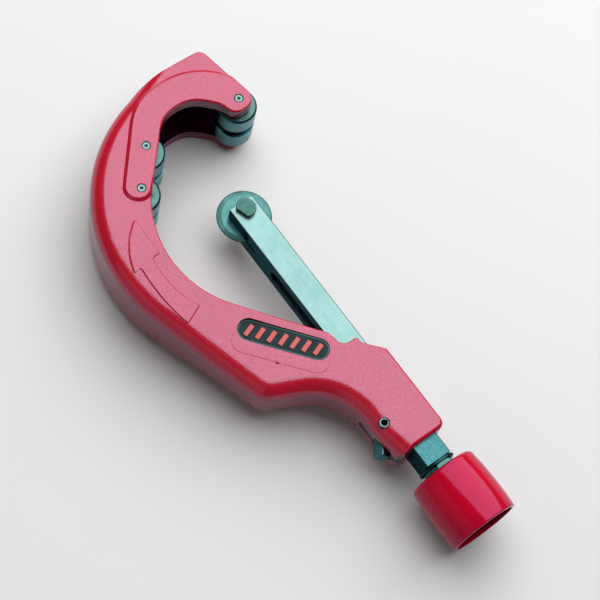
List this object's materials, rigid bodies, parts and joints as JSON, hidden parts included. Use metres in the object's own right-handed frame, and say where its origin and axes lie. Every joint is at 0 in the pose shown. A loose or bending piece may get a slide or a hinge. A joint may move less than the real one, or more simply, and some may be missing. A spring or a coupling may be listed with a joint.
{
  "type": "pipe cutter",
  "caption": "Quick-acting C-frame pipe cutter: a cast frame with guide rollers, a sliding bar with a cutting wheel, and a screw handle with a thumb release.",
  "frame": {"origin": "under the middle of the bounding box, on the plane of the back roller pad that the tool lies on", "axes": "+X along the slide from the cutting wheel towards the handle, +Y out of the open mouth of the C, +Z through the thickness away from the surface it lies on"},
  "size_m": [0.277, 0.1145, 0.0453],
  "materials": {
    "frame_paint": "gloss red paint over a casting",
    "handle_paint": "gloss red paint, smooth",
    "roller_steel": "turned steel",
    "pin_steel": "hardened steel, chamfered ends",
    "slide_zinc": "bright zinc plating",
    "wheel_steel": "ground tool steel",
    "bolt_zinc": "zinc plating",
    "washer_steel": "plain steel",
    "spindle_steel": "rolled thread, oiled steel",
    "bush_bronze": "bronze bearing",
    "collar_zinc": "zinc plating",
    "lever_steel": "stamped steel",
    "badge_black": "dark enamel",
    "badge_bar": "coral enamel"
  },
  "bodies": {
    "frame": {"frame_casting": "frame_paint", "roller_pin_a": "pin_steel", "roller_pin_b": "pin_steel", "roller_pin_c": "pin_steel", "lever_pin": "pin_steel", "badge_plate": "badge_black", "badge_bars": "badge_bar"},
    "roller_a": {"roller_a": "roller_steel"},
    "roller_b": {"roller_b": "roller_steel"},
    "roller_c": {"roller_c": "roller_steel"},
    "slide": {"slide_bar": "slide_zinc", "wheel_axle_bolt": "bolt_zinc", "axle_spring_washer": "washer_steel", "axle_nut": "bolt_zinc", "spindle_bush": "bush_bronze"},
    "cutter_wheel": {"cutter_wheel": "wheel_steel"},
    "spindle": {"feed_spindle": "spindle_steel", "spindle_clip": "washer_steel", "thrust_washer": "washer_steel", "hex_collar": "collar_zinc", "handle": "handle_paint", "handle_washer": "washer_steel", "handle_nut": "bolt_zinc"},
    "release_lever": {"release_lever": "lever_steel", "release_stud": "lever_steel", "lever_spring": "washer_steel"}
  },
  "joints": [
    {"name": "roller_a_spin", "type": "hinge", "parent": "frame", "child": "roller_a", "pos_m": [-0.1088, -0.00615, 0.02265], "axis": [0, 0, 1], "continuous": true},
    {"name": "roller_b_spin", "type": "hinge", "parent": "frame", "child": "roller_b", "pos_m": [-0.0916, -0.02115, 0.02265], "axis": [0, 0, 1], "continuous": true},
    {"name": "roller_c_spin", "type": "hinge", "parent": "frame", "child": "roller_c", "pos_m": [-0.1042, 0.04725, 0.02265], "axis": [0, 0, 1], "continuous": true},
    {"name": "bar_slide", "type": "slide", "parent": "frame", "child": "slide", "axis": [1, 0, 0], "range_m": [-0.01081, 0.04601]},
    {"name": "wheel_spin", "type": "hinge", "parent": "slide", "child": "cutter_wheel", "pos_m": [-0.0575, 0.01875, 0.02265], "axis": [0, 0, 1], "continuous": true},
    {"name": "handle_turn", "type": "hinge", "parent": "slide", "child": "spindle", "pos_m": [0, 0.01875, 0.02265], "axis": [1, 0, 0], "range_deg": [-2592, 11040]},
    {"name": "lever_press", "type": "hinge", "parent": "frame", "child": "release_lever", "pos_m": [0.0708, 0.00665, 0.02265], "axis": [0, 0, 1], "range_deg": [0, 6.5], "stiffness_Nm_per_rad": 0.6, "springref_deg": -17.19}
  ],
  "couplings": [
    {"joint": "bar_slide", "follows": "handle_turn", "m_per_rad": 0.00023873}
  ]
}
